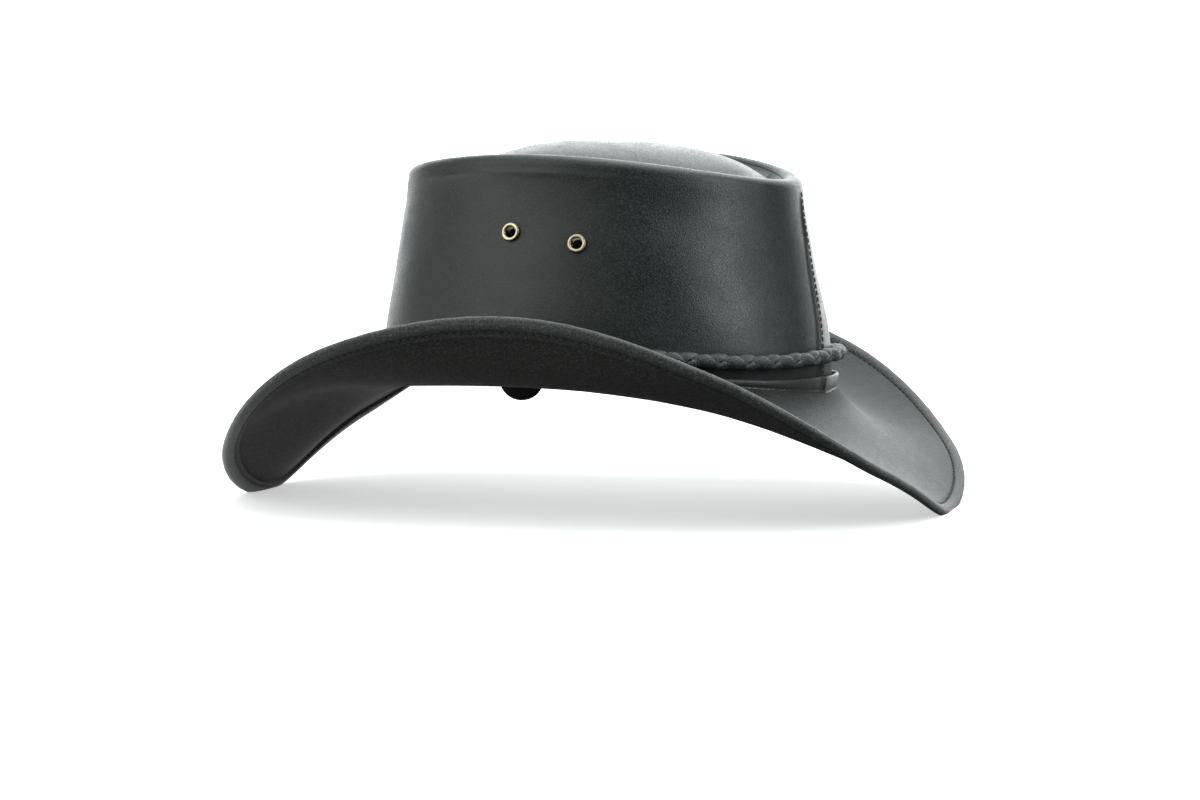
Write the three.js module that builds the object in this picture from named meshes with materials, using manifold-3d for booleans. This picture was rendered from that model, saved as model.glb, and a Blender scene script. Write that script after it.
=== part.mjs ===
import * as THREE from 'three';
import { mergeVertices } from 'three/addons/utils/BufferGeometryUtils.js';
import Module from 'manifold-3d';

// A black leather western hat, standing on the front and the back of its brim.
// Millimetres, +Z up. The front of the hat points along +X.

// Head opening and crown panels
const headLength = 208;
const headWidth = 170;
const crownWall = 2;
const crownHeight = 100.2;
const crestLength = 186;
const crestWidth = 147;
const crestShift = -0.7;
const crestFrontNarrowing = 0.05;
const crestFrontDrop = 2.6;
const crestSaddle = 4.9;
const crestTilt = 5;
const rollRadius = 5;
const rollEnd = 140;
const tipWall = 1.8;
const tipRise = 10.5;
const tipShift = -8;
const valleyDepth = 3.6;
const valleyFrontDepth = 1.2;
const pieceGap = 0.3;

// Lapped seam of the side panel at the front
const lapFoot = -10;
const lapSlant = 9;
const lapWidth = 11;
const lapStep = 0.7;

// Brim
const brimWidth = 82;
const brimThickness = 2.2;
const hemWidth = 9;
const hemThickness = 4;
const footHeight = 58.2;
const footMargin = 0.9;
const footFrontRise = 0.1;
const footSideRise = 4.8;
const restFlat = 2.4;

// Strip round the foot of the crown
const stripThickness = 1.8;
const stripHeight = 3;
const stripFrontRise = 4.5;
const stripFlare = 1.2;

// Braided hat band and the sleeve that joins its ends
const bandRadius = 3.5;
const bandRelief = 0.35;
const bandLift = 3.4;
const bandFrontLift = 2.4;
const lozengeLength = 13;
const sleeveAngle = 120;
const sleeveWall = 1;
const joinRadius = 2.2;

// Vent eyelets
const eyeletBore = 4.8;
const eyeletFlange = 8.6;
const eyeletBarrel = 5.9;
const eyeletDome = 1.3;
const eyeletBackFlange = 7.8;
const eyeletBackThickness = 0.6;
const eyeletSides = 12;

// Tab that hangs inside the head opening on one side
const tabWidth = 21;
const tabLength = 18.5;
const tabDrop = 9.5;
const tabThickness = 1.6;
const tabAngle = -99;
const tabGap = 1;

const sideCount = 60;

// Brim sections from the front, 0, to the back, 180. The width is a share of brimWidth along the
// leather, and the slopes are in degrees above level at the crown's foot and at the edge.
const brimSections = [
  { angle: 0, width: 0.955, rootSlope: -46, edgeSlope: -41 },
  { angle: 30, width: 0.97, rootSlope: -43, edgeSlope: -5 },
  { angle: 60, width: 0.99, rootSlope: -25, edgeSlope: 39 },
  { angle: 90, width: 0.89, rootSlope: -17, edgeSlope: 71 },
  { angle: 120, width: 0.945, rootSlope: -6, edgeSlope: 34 },
  { angle: 150, width: 1.02, rootSlope: 6, edgeSlope: -42 },
  { angle: 180, width: 1.055, rootSlope: -31, edgeSlope: -46 },
];

// How far the side panel has leaned in from the foot to the crest, both as shares
const sideSections = [
  { height: 0, lean: 0 },
  { height: 0.18, lean: 0.04 },
  { height: 0.32, lean: 0.15 },
  { height: 0.46, lean: 0.33 },
  { height: 0.6, lean: 0.53 },
  { height: 0.74, lean: 0.72 },
  { height: 0.88, lean: 0.9 },
  { height: 1, lean: 1 },
];

// Shallow dents in the side panel. The depth is a share of crownHeight, the spread in degrees.
const sideDents = [
  { angle: -30, height: 0.62, depth: 0.02, spread: 17, rise: 0.3 },
  { angle: 32, height: 0.58, depth: 0.018, spread: 18, rise: 0.3 },
  { angle: -64, height: 0.3, depth: 0.01, spread: 14, rise: 0.16 },
  { angle: 158, height: 0.7, depth: 0.012, spread: 20, rise: 0.3 },
];

// Tip panel from the valley, 0, to its middle, 1. The rise is a share from valley floor to top.
const tipSections = [
  { inward: 0.035, rise: 0.03 },
  { inward: 0.07, rise: 0 },
  { inward: 0.13, rise: 0.04 },
  { inward: 0.22, rise: 0.19 },
  { inward: 0.36, rise: 0.48 },
  { inward: 0.55, rise: 0.77 },
  { inward: 0.77, rise: 0.95 },
];

// Eyelets on each side, as shares of the crown's length from its middle and of its height
const ventSections = [
  { along: -0.1125, height: 0.68 },
  { along: 0.045, height: 0.633 },
];

// Brim rows from the crown's foot, 0, to the start of the hem, 1
const brimRows = [0, 0.14, 0.3, 0.46, 0.62, 0.78, 0.9, 1];

const leather = { color: 0x1d2122, roughness: 0.62, metalness: 0 };
const brimLeather = { color: 0x202325, roughness: 0.7, metalness: 0 };
const braidLeather = { color: 0x232a2b, roughness: 0.55, metalness: 0 };
const brass = { color: 0x8a7f57, roughness: 0.38, metalness: 1 };

const radians = THREE.MathUtils.degToRad;
const lerp = THREE.MathUtils.lerp;

// Smooth value of one column of brimSections, mirrored from the near side to the far side
function brimColumn(angle, column) {
  const rows = brimSections;
  const last = rows.length - 1;
  const turn = Math.abs(THREE.MathUtils.euclideanModulo(angle + Math.PI, 2 * Math.PI) - Math.PI);
  const place = turn / Math.PI * last;
  const row = Math.min(Math.floor(place), last - 1);
  const share = place - row;
  const value = (index) => rows[last - Math.abs(last - Math.abs(index))][column];
  const before = value(row - 1);
  const here = value(row);
  const next = value(row + 1);
  const after = value(row + 2);
  const leaving = (next - before) / 2;
  const arriving = (after - here) / 2;
  const square = share * share;
  const cube = square * share;
  return here * (2 * cube - 3 * square + 1) + leaving * (cube - 2 * square + share)
    + next * (3 * square - 2 * cube) + arriving * (cube - square);
}

// Point of the head opening at an angle, with the level direction that points out of the hat
function openingAt(angle) {
  const x = headLength / 2 * Math.cos(angle);
  const y = headWidth / 2 * Math.sin(angle);
  const out = new THREE.Vector3(Math.cos(angle) / headLength, Math.sin(angle) / headWidth, 0).normalize();
  return { point: new THREE.Vector3(x, y, 0), out };
}

function moved(point, out, along, up) {
  return point.clone().addScaledVector(out, along).add(new THREE.Vector3(0, 0, up));
}

// Brim
// Each section of the brim is an arc along the middle of the leather, starting at the foot line.
const footLine = crownWall + footMargin;

function brimRootHeight(angle) {
  return footHeight + footFrontRise * Math.cos(angle) - footSideRise * Math.cos(2 * angle);
}

// A point of the brim: reach along the leather from the foot line, above the middle of the leather
function brimPoint(angle, reach, above) {
  const { point, out } = openingAt(angle);
  const width = brimColumn(angle, 'width') * brimWidth;
  const root = radians(brimColumn(angle, 'rootSlope'));
  const edge = radians(brimColumn(angle, 'edgeSlope'));
  const halfBend = reach > 0 ? (edge - root) * reach / width / 2 : 0;
  const chord = halfBend === 0 ? reach : reach * Math.sin(halfBend) / halfBend;
  const along = chord * Math.cos(root + halfBend);
  const up = chord * Math.sin(root + halfBend);
  const slope = root + 2 * halfBend;
  const z = brimRootHeight(angle) + up + above * Math.cos(slope);
  return moved(point, out, footLine + along - above * Math.sin(slope), z);
}

// Height of the brim's upper face at a level distance out from the head opening, near the foot
function brimTopHeight(angle, outward) {
  const root = radians(brimColumn(angle, 'rootSlope'));
  return brimRootHeight(angle) + (outward - footLine) * Math.tan(root) + brimThickness / 2 / Math.cos(root);
}

function brimSection(angle) {
  const width = brimColumn(angle, 'width') * brimWidth;
  const root = radians(brimColumn(angle, 'rootSlope'));
  const openingEdge = -footLine / Math.cos(root);
  const top = brimThickness / 2;
  const under = top - hemThickness;
  const hemStart = width - hemWidth;
  const round = hemThickness / 2;
  const upper = brimRows.map((share) => [hemStart * share, top]).reverse();
  const lower = brimRows.map((share) => [hemStart * share, -top]);
  const turned = [-90, -45, 0, 45, 90].map((turn) => [
    width - round + round * Math.cos(radians(turn)),
    top - round + round * Math.sin(radians(turn)),
  ]);
  const loop = [[openingEdge, -top], ...lower, [hemStart, under], ...turned, ...upper, [openingEdge, top]];
  return loop.map(([reach, above]) => brimPoint(angle, reach, above));
}

function lowestOf(angle) {
  return Math.min(...brimSection(angle).map((point) => point.z));
}

// The front and back of the edge are pressed flat where the hat stands on them
const restLevel = Math.max(lowestOf(0), lowestOf(Math.PI)) + restFlat;

// Bodies
function indexedBody(points, triangles) {
  const geometry = new THREE.BufferGeometry();
  geometry.setAttribute('position', new THREE.Float32BufferAttribute(points.flatMap((p) => p.toArray()), 3));
  geometry.setIndex(triangles);
  geometry.computeVertexNormals();
  return geometry;
}

// Closed ring through sections that are closed loops of equal length
function ringBody(sections) {
  const count = sections[0].length;
  const triangles = [];
  sections.forEach((section, index) => {
    const here = index * count;
    const next = (index + 1) % sections.length * count;
    for (let row = 0; row < count; row += 1) {
      const after = (row + 1) % count;
      triangles.push(here + row, next + row, next + after, here + row, next + after, here + after);
    }
  });
  return indexedBody(sections.flat(), triangles);
}

function mesh(name, geometry, finish) {
  const body = new THREE.Mesh(geometry, new THREE.MeshStandardMaterial({ name, ...finish }));
  body.name = name;
  return body;
}

// Angles that all rings share, with two more at the lapped seam
const lapTurn = THREE.MathUtils.radToDeg(lapWidth / (headLength / 2)) / (headWidth / headLength);
const roundAngles = Array.from({ length: sideCount }, (_, index) => index * 360 / sideCount);
const lapAngles = [360 + lapFoot - 0.4, 360 + lapFoot];
const ringAngles = [...roundAngles, ...lapAngles].sort((a, b) => a - b).map(radians);

function brim() {
  const settled = (point) => new THREE.Vector3(point.x, point.y, Math.max(point.z - restLevel, 0));
  const sections = ringAngles.map((angle) => brimSection(angle).map(settled));
  return mesh('brim', ringBody(sections), brimLeather);
}

// Crown side
function crestHeight(angle) {
  const front = Math.cos(angle);
  const tilt = crestTilt * Math.sin(angle) * (1 + front) / 2;
  return footHeight + crownHeight - crestFrontDrop * front - crestSaddle * Math.cos(2 * angle) + tilt;
}

function shoulderAt(angle) {
  const narrowing = 1 - crestFrontNarrowing * Math.cos(angle);
  const x = crestShift + crestLength / 2 * Math.cos(angle);
  const y = crestWidth / 2 * Math.sin(angle) * narrowing;
  const out = new THREE.Vector3(Math.cos(angle) / crestLength, Math.sin(angle) / crestWidth, 0).normalize();
  return { point: new THREE.Vector3(x, y, 0), out };
}

function bump(distance) {
  return Math.exp(-distance * distance);
}

function shortTurn(from, to) {
  return THREE.MathUtils.euclideanModulo(to - from + 180, 360) - 180;
}

function dentDepth(angle, height) {
  const degrees = THREE.MathUtils.radToDeg(angle);
  const depth = (dent) => dent.depth * crownHeight * bump(shortTurn(dent.angle, degrees) / dent.spread)
    * bump((height - dent.height) / dent.rise);
  return sideDents.reduce((sum, dent) => sum + depth(dent), 0);
}

// The outer layer of the lapped seam stands proud and fades into the panel
function lapLift(angle) {
  const past = shortTurn(lapFoot, THREE.MathUtils.radToDeg(angle)) / lapTurn;
  return past < -0.001 || past > 1 ? 0 : lapStep * (1 - past * past);
}

// The seam slants across the front, and the panel's sections follow it
function slantedAngle(angle, height) {
  const nearSeam = Math.max(0, Math.cos(angle - radians(lapFoot))) ** 8;
  return angle + radians(lapSlant) * height * nearSeam;
}

function leanAt(height) {
  const index = Math.max(1, sideSections.findIndex((row) => row.height >= height));
  const below = sideSections[index - 1];
  const above = sideSections[index];
  const share = (height - below.height) / (above.height - below.height);
  return lerp(below.lean, above.lean, share);
}

// Outer face of the side panel at a share of its height, with the direction that points out
function sidePoint(footAngle, height) {
  const angle = slantedAngle(footAngle, height);
  const foot = openingAt(angle);
  const shoulder = shoulderAt(angle);
  const lean = leanAt(height);
  const out = foot.out.clone().lerp(shoulder.out, lean).normalize();
  const bottom = brimTopHeight(angle, crownWall) + pieceGap;
  const top = crestHeight(angle) - rollRadius;
  const point = moved(foot.point, foot.out, crownWall, 0).lerp(shoulder.point, lean);
  const proud = lapLift(footAngle) * (1 - height ** 6) - dentDepth(angle, height);
  return { point: moved(point, out, proud, lerp(bottom, top, height) - restLevel), out, proud };
}

// A point of the rolled crest, from 0 at the shoulder over the top to rollEnd in the valley
function crestPoint(footAngle, turn, radius) {
  const { point, out } = sidePoint(footAngle, 1);
  const rolled = radians(turn);
  return moved(point, out, radius * Math.cos(rolled) - rollRadius, radius * Math.sin(rolled));
}

function sideSection(angle) {
  const rollTurns = [1, 2, 3, 4].map((step) => rollEnd * step / 4);
  const outer = sideSections.map((row) => sidePoint(angle, row.height).point);
  const inner = sideSections.map((row) => {
    const { point, out, proud } = sidePoint(angle, row.height);
    return moved(point, out, -crownWall - Math.max(proud, 0), 0);
  });
  inner[0].z += brimTopHeight(angle, 0) - brimTopHeight(angle, crownWall);
  const crest = rollTurns.map((turn) => crestPoint(angle, turn, rollRadius));
  const under = rollTurns.map((turn) => crestPoint(angle, turn, rollRadius - crownWall));
  return [...outer, ...crest, ...under.reverse(), ...inner.reverse()];
}

// Exact cuts between closed meshes
const wasm = await Module();
wasm.setup();

function solidOf(body) {
  const plain = body.geometry.clone().applyMatrix4(body.matrix);
  plain.deleteAttribute('normal');
  plain.deleteAttribute('uv');
  const merged = mergeVertices(plain, 1e-4);
  const vertProperties = new Float32Array(merged.attributes.position.array);
  const triVerts = new Uint32Array(merged.index.array);
  return new wasm.Manifold(new wasm.Mesh({ numProp: 3, vertProperties, triVerts }));
}

function geometryOf(solid) {
  const result = solid.getMesh();
  const geometry = new THREE.BufferGeometry();
  geometry.setAttribute('position', new THREE.Float32BufferAttribute(result.vertProperties, 3));
  geometry.setIndex(Array.from(result.triVerts));
  geometry.computeVertexNormals();
  return geometry;
}

// Vents
// Where an eyelet sits on the side panel, with the direction its bore runs
function ventPlace(vent, side) {
  const angle = side * Math.acos(vent.along * 2);
  const { point } = sidePoint(angle, vent.height);
  const step = 0.02;
  const alongWall = sidePoint(angle + step, vent.height).point.sub(sidePoint(angle - step, vent.height).point);
  const upWall = sidePoint(angle, vent.height + step).point.sub(sidePoint(angle, vent.height - step).point);
  return { point, axis: alongWall.cross(upWall).normalize() };
}

function placeOnWall(body, { point, axis }) {
  body.position.copy(point);
  body.quaternion.setFromUnitVectors(new THREE.Vector3(0, 1, 0), axis);
  body.updateMatrix();
  return body;
}

const vents = [-1, 1].flatMap((side) => ventSections.map((vent, index) => {
  const sideName = side < 0 ? 'near' : 'far';
  const endName = index === 0 ? 'back' : 'front';
  return { name: `eyelet_${sideName}_${endName}`, place: ventPlace(vent, side) };
}));

function eyelet(vent) {
  const bore = eyeletBore / 2;
  const flange = eyeletFlange / 2;
  const barrel = eyeletBarrel / 2;
  const backFlange = eyeletBackFlange / 2;
  const back = -crownWall - pieceGap;
  const crown = pieceGap + eyeletDome;
  const profile = [
    [bore, back - eyeletBackThickness],
    [backFlange, back - eyeletBackThickness],
    [backFlange, back],
    [barrel, back],
    [barrel, pieceGap],
    [flange, pieceGap],
    [lerp(bore, flange, 0.9), pieceGap + eyeletDome * 0.6],
    [lerp(bore, flange, 0.6), crown],
    [lerp(bore, flange, 0.3), crown],
    [bore, pieceGap + eyeletDome * 0.5],
    [bore, back - eyeletBackThickness],
  ];
  const points = profile.map(([radius, height]) => new THREE.Vector2(radius, height));
  return placeOnWall(mesh(vent.name, new THREE.LatheGeometry(points, eyeletSides), brass), vent.place);
}

function crownSide() {
  const panel = mesh('crown_side', ringBody(ringAngles.map(sideSection)), leather);
  const hole = eyeletBarrel / 2 + pieceGap;
  const cut = vents.reduce((solid, vent) => {
    const cutter = new THREE.CylinderGeometry(hole, hole, crownWall * 6, eyeletSides);
    return solid.subtract(solidOf(placeOnWall(new THREE.Mesh(cutter), vent.place)));
  }, solidOf(panel));
  panel.geometry = geometryOf(cut);
  return panel;
}

// Crown tip
function valleyFloor(angle) {
  const front = Math.max(0, Math.cos(angle)) ** 2;
  return crestHeight(angle) - valleyDepth - valleyFrontDepth * front - restLevel;
}

const tipTop = footHeight + crownHeight + tipRise - restLevel;
const tipMiddle = new THREE.Vector3(crestShift + tipShift, 0, tipTop);

// Rows from the seam in the valley towards the middle, on the upper or the lower face of the panel
function tipRow(angle, lower) {
  const radius = lower ? rollRadius - tipWall : rollRadius;
  const turn = radians(rollEnd);
  const { out } = sidePoint(angle, 1);
  const lip = crestPoint(angle, rollEnd, radius);
  const seam = moved(lip, out, -pieceGap * Math.sin(turn), pieceGap * Math.cos(turn));
  const upperSeam = crestPoint(angle, rollEnd, rollRadius);
  const floor = valleyFloor(slantedAngle(angle, 1));
  const rows = tipSections.map((row) => {
    const point = upperSeam.clone().lerp(tipMiddle, row.inward);
    point.z = lerp(floor, tipTop, row.rise) - (lower ? tipWall : 0);
    return point;
  });
  return [seam, ...rows];
}

function crownTip() {
  const sections = ringAngles.map((angle) => [...tipRow(angle, false), ...tipRow(angle, true).reverse()]);
  const count = sections[0].length;
  const lastUpper = count / 2 - 1;
  const points = sections.flat();
  const upperMiddle = points.push(tipMiddle.clone()) - 1;
  const lowerMiddle = points.push(moved(tipMiddle, tipMiddle, 0, -tipWall)) - 1;
  const triangles = [];
  sections.forEach((section, index) => {
    const here = index * count;
    const next = (index + 1) % sections.length * count;
    for (let row = 0; row < count; row += 1) {
      const after = (row + 1) % count;
      if (row !== lastUpper) {
        triangles.push(here + row, next + row, next + after, here + row, next + after, here + after);
      }
    }
    triangles.push(here + lastUpper, next + lastUpper, upperMiddle);
    triangles.push(next + lastUpper + 1, here + lastUpper + 1, lowerMiddle);
  });
  return mesh('crown_tip', indexedBody(points, triangles), leather);
}

// Base strip
function frontShare(angle) {
  return Math.max(0, Math.cos(angle)) ** 6;
}

function stripTopHeight(angle) {
  const outerFoot = brimTopHeight(angle, crownWall + pieceGap + stripThickness) + pieceGap;
  return outerFoot + stripHeight + stripFrontRise * frontShare(angle) - restLevel;
}

function stripSection(angle) {
  const { point, out } = openingAt(angle);
  const inner = crownWall + pieceGap + lapLift(angle);
  const outer = inner + stripThickness;
  const flare = stripFlare * frontShare(angle);
  const innerFoot = brimTopHeight(angle, inner) + pieceGap - restLevel;
  const outerFoot = brimTopHeight(angle, outer) + pieceGap - restLevel;
  const top = stripTopHeight(angle);
  return [
    moved(point, out, outer, outerFoot),
    moved(point, out, outer + flare, top),
    moved(point, out, inner + flare, top),
    moved(point, out, inner, innerFoot),
  ];
}

function baseStrip() {
  return mesh('base_strip', ringBody(ringAngles.map(stripSection)), leather);
}

// Hat band
// The middle of the braid at an angle, above the strip and against the side panel
function bandMiddle(angle) {
  const lift = bandLift + bandFrontLift * frontShare(angle);
  const level = stripTopHeight(angle) + pieceGap + bandRadius + lift;
  const bottom = brimTopHeight(angle, crownWall) + pieceGap - restLevel;
  const top = crestHeight(angle) - rollRadius - restLevel;
  const { point, out } = sidePoint(angle, (level - bottom) / (top - bottom));
  return { point: moved(point, out, bandRadius + pieceGap, level - point.z), out };
}

function roundSection({ point, out }, radiusAt) {
  const sides = 8;
  return Array.from({ length: sides }, (_, side) => {
    const turn = side * 2 * Math.PI / sides;
    const radius = radiusAt(side);
    return moved(point, out, radius * Math.cos(turn), radius * Math.sin(turn));
  });
}

const bandLength = Math.PI * (headLength + headWidth) / 2 + 2 * Math.PI * bandRadius;
const halfLozenges = 2 * Math.round(bandLength / lozengeLength);
const bandTurn = 2 * Math.PI / halfLozenges;
const joinStart = Math.round(radians(sleeveAngle) / bandTurn);
const joinSteps = 2;

function hatBand() {
  const sections = Array.from({ length: halfLozenges }, (_, index) => {
    const joined = index >= joinStart && index <= joinStart + joinSteps;
    const sunk = (side) => (index + side) % 2 * bandRelief;
    return roundSection(bandMiddle(index * bandTurn), (side) => joined ? joinRadius : bandRadius - sunk(side));
  });
  return mesh('hat_band', ringBody(sections), braidLeather);
}

function bandSleeve() {
  const sections = Array.from({ length: joinSteps + 1 }, (_, index) => {
    const middle = bandMiddle((joinStart + index) * bandTurn);
    const outer = roundSection(middle, () => joinRadius + pieceGap + sleeveWall);
    const inner = roundSection(middle, () => joinRadius + pieceGap);
    return [outer, inner];
  });
  const sides = sections[0][0].length;
  const points = sections.flat(2);
  const corner = (section, face, side) => (section * 2 + face) * sides + side % sides;
  const triangles = [];
  const quad = (a, b, c, d) => triangles.push(a, b, c, a, c, d);
  for (let side = 0; side < sides; side += 1) {
    for (let step = 0; step < joinSteps; step += 1) {
      quad(corner(step, 0, side), corner(step + 1, 0, side), corner(step + 1, 0, side + 1), corner(step, 0, side + 1));
      quad(corner(step, 1, side + 1), corner(step + 1, 1, side + 1), corner(step + 1, 1, side), corner(step, 1, side));
    }
    quad(corner(0, 0, side + 1), corner(0, 1, side + 1), corner(0, 1, side), corner(0, 0, side));
    quad(corner(joinSteps, 0, side), corner(joinSteps, 1, side), corner(joinSteps, 1, side + 1),
      corner(joinSteps, 0, side + 1));
  }
  return mesh('band_sleeve', indexedBody(points, triangles), leather);
}

// Opening tab
function openingTab() {
  const half = tabWidth / 2;
  const outline = new THREE.Shape();
  outline.moveTo(-half, 0);
  outline.absellipse(0, 0, half, tabDrop, Math.PI, 2 * Math.PI, false);
  outline.lineTo(half, tabLength - tabDrop);
  outline.lineTo(-half, tabLength - tabDrop);
  outline.closePath();
  const geometry = new THREE.ExtrudeGeometry(outline, { depth: tabThickness, bevelEnabled: false, curveSegments: 12 });
  const angle = radians(tabAngle);
  const { point, out } = openingAt(angle);
  const tab = mesh('opening_tab', geometry, leather);
  const under = brimTopHeight(angle, 0) - brimThickness - restLevel;
  tab.position.copy(moved(point, out, -tabGap - tabThickness, under));
  tab.quaternion.setFromRotationMatrix(new THREE.Matrix4().makeBasis(
    new THREE.Vector3(-out.y, out.x, 0),
    new THREE.Vector3(0, 0, 1),
    out,
  ));
  return tab;
}

// The hat
const hat = new THREE.Group();
hat.name = 'leather_western_hat';
hat.add(brim());
hat.add(crownSide());
hat.add(crownTip());
hat.add(baseStrip());
hat.add(hatBand());
hat.add(bandSleeve());
vents.forEach((vent) => hat.add(eyelet(vent)));
hat.add(openingTab());

// The origin is under the middle of the whole outline, on the surface that the hat stands on
const extent = new THREE.Box3().setFromObject(hat);
const middle = extent.getCenter(new THREE.Vector3());
hat.position.set(-middle.x, -middle.y, 0);

export default hat;
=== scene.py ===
import math
import random

import bmesh
import bpy
from mathutils import Matrix, Vector
from mathutils.bvhtree import BVHTree


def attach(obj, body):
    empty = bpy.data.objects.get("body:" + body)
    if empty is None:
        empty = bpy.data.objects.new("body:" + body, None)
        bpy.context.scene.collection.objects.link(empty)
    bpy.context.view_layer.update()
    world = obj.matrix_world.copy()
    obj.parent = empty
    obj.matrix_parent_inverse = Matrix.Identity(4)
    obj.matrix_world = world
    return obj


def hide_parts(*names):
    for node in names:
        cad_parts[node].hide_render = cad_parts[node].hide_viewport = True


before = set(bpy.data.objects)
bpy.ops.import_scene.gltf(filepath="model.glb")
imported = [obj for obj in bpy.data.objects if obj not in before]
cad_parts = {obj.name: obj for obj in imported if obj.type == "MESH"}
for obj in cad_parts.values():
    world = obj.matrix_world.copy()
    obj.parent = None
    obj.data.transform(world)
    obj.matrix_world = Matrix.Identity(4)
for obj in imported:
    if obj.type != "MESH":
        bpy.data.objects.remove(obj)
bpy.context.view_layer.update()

mm = 0.001
tau = 2 * math.pi

# Camera
view = {
    "aim": Vector((0.0024, 0.0, 0.0465)),
    "around": math.radians(15.642),  # turned towards the front of the hat
    "above": math.radians(4.324),
    "distance": 1.3,
    "lens": 83.145,
}


def setCamera():
    back = Vector((
        math.sin(view["around"]) * math.cos(view["above"]),
        -math.cos(view["around"]) * math.cos(view["above"]),
        math.sin(view["above"]),
    ))
    bpy.ops.object.camera_add(location=view["aim"] + back * view["distance"])
    camera = bpy.context.object
    camera.name = "camera"
    camera.rotation_euler = (-back).to_track_quat("-Z", "Y").to_euler()
    camera.data.lens = view["lens"]
    camera.data.sensor_width = 36
    camera.data.clip_start = 0.05
    bpy.context.scene.camera = camera


setCamera()

# Form of the hat, the same sizes as the solids, in millimetres
hat = {
    "headLength": 208, "headWidth": 170, "wall": 2, "crownHeight": 100.2,
    "crestLength": 186, "crestWidth": 147, "crestShift": -0.7, "crestFrontNarrowing": 0.05,
    "crestFrontDrop": 2.6, "crestSaddle": 4.9, "crestTilt": 5,
    "rollRadius": 5, "rollEnd": 140, "gap": 0.3,
    "footHeight": 58.2, "footFrontRise": 0.1, "footSideRise": 4.8, "footMargin": 0.9,
    "restFlat": 2.4,
}
brimSet = {
    "width": 82, "thickness": 2.2, "hemWidth": 9, "hemThickness": 4,
    "columns": 240,
    "grooveFromEdge": 6.3, "grooveDepth": 0.55, "grooveHalf": 0.8, "hemSwell": 0.35,
    "pucker": 0.1, "puckers": 150,
    "bands": [0, 0.08, 0.17, 0.27, 0.37, 0.47, 0.57, 0.67, 0.77, 0.87, 0.95, 1],
    # width share, slope at the foot, slope at the edge, from the front round to the back
    "sections": [
        (0.955, -46, -41), (0.97, -43, -5), (0.99, -25, 39), (0.89, -17, 71),
        (0.945, -6, 34), (1.02, 6, -42), (1.055, -31, -46),
    ],
}


def smoothRow(rows, place):
    last = len(rows) - 1
    row = min(int(place), last - 1)
    share = place - row

    def value(index):
        return rows[last - abs(last - abs(index))]

    before, here, after, beyond = value(row - 1), value(row), value(row + 1), value(row + 2)
    square = share * share
    cube = square * share
    return (here * (2 * cube - 3 * square + 1) + (after - before) / 2 * (cube - 2 * square + share)
            + after * (3 * square - 2 * cube) + (beyond - here) / 2 * (cube - square))


def wrapped(turn):
    return (turn + math.pi) % tau - math.pi


def brimColumn(turn, column):
    place = abs(wrapped(turn)) / math.pi * (len(brimSet["sections"]) - 1)
    return smoothRow([row[column] for row in brimSet["sections"]], place)


def openingAt(turn):
    point = Vector((hat["headLength"] / 2 * math.cos(turn), hat["headWidth"] / 2 * math.sin(turn), 0))
    out = Vector((math.cos(turn) / hat["headLength"], math.sin(turn) / hat["headWidth"], 0))
    return point, out.normalized()


footLine = hat["wall"] + hat["footMargin"]


def brimRootHeight(turn):
    front = hat["footFrontRise"] * math.cos(turn)
    return hat["footHeight"] + front - hat["footSideRise"] * math.cos(2 * turn)


def brimAt(turn, reach, above):
    point, out = openingAt(turn)
    width = brimColumn(turn, 0) * brimSet["width"]
    root = math.radians(brimColumn(turn, 1))
    edge = math.radians(brimColumn(turn, 2))
    half = (edge - root) * reach / width / 2 if reach > 0 else 0
    chord = reach * math.sin(half) / half if abs(half) > 1e-9 else reach
    slope = root + 2 * half
    along = chord * math.cos(root + half) - above * math.sin(slope)
    up = chord * math.sin(root + half) + above * math.cos(slope)
    return point + out * (footLine + along) + Vector((0, 0, brimRootHeight(turn) + up))


def brimTopHeight(turn, outward):
    root = math.radians(brimColumn(turn, 1))
    half = brimSet["thickness"] / 2 / math.cos(root)
    return brimRootHeight(turn) + (outward - footLine) * math.tan(root) + half


def brimWidthAt(turn):
    return brimColumn(turn, 0) * brimSet["width"]


def hemEdge(turn, angle):
    radius = brimSet["hemThickness"] / 2
    middle = brimSet["thickness"] / 2 - radius
    across = brimWidthAt(turn) - radius + radius * math.cos(angle)
    return brimAt(turn, across, middle + radius * math.sin(angle))


edgeAngles = [math.radians(angle) for angle in (-90, -45, 0, 45, 90)]
restLevel = max(min(hemEdge(turn, angle).z for angle in edgeAngles) for turn in (0, math.pi))
restLevel += hat["restFlat"]
frontEnd = max(hemEdge(0, angle).x for angle in edgeAngles)
backEnd = min(hemEdge(math.pi, angle).x for angle in edgeAngles)
hatMiddle = Vector(((frontEnd + backEnd) / 2, 0, restLevel))


def placed(point):
    return (point - hatMiddle) * mm


def lerp(start, end, share):
    return start + (end - start) * share


def bulge(distance):
    return math.exp(-distance * distance)


# Modelling helpers
def letGo():
    if bpy.context.object and bpy.context.object.mode != "OBJECT":
        bpy.ops.object.mode_set(mode="OBJECT")
    bpy.ops.object.select_all(action="DESELECT")


def pick(piece):
    letGo()
    piece.select_set(True)
    bpy.context.view_layer.objects.active = piece


def smoothOver(piece, degrees):
    pick(piece)
    bpy.ops.object.shade_smooth_by_angle(angle=math.radians(degrees))
    letGo()


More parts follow.
